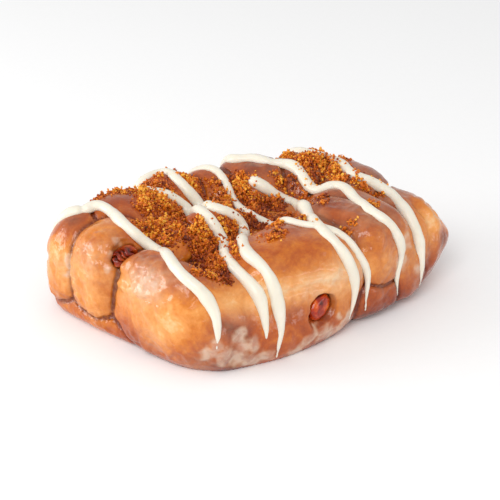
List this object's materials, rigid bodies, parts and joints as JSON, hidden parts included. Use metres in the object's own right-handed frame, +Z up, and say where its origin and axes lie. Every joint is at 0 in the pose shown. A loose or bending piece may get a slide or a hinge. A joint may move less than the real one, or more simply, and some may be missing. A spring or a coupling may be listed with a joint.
{
  "type": "apple fritter",
  "caption": "Slab-shaped fried apple fritter of creased dough pillows, with white icing bands, crumb and stewed apple showing; it rests on its flat underside.",
  "frame": {"origin": "centre of the bounding box, at the flat underside", "axes": "+X along the length, +Z up, the icing's long hanging tails on the -Y side"},
  "size_m": [0.1243, 0.1001, 0.041],
  "materials": {
    "fried_dough": "golden to chestnut brown crust under a thin clear sugar glaze",
    "white_icing": "opaque warm white, smooth, softly glossy",
    "brown_sugar_crumb": "matt amber to dark brown grains",
    "stewed_apple": "wet red-brown, slightly translucent"
  },
  "bodies": {
    "root": {"fritter": "fried_dough", "apple_piece_front": "stewed_apple", "apple_piece_left": "stewed_apple"}
  },
  "joints": []
}
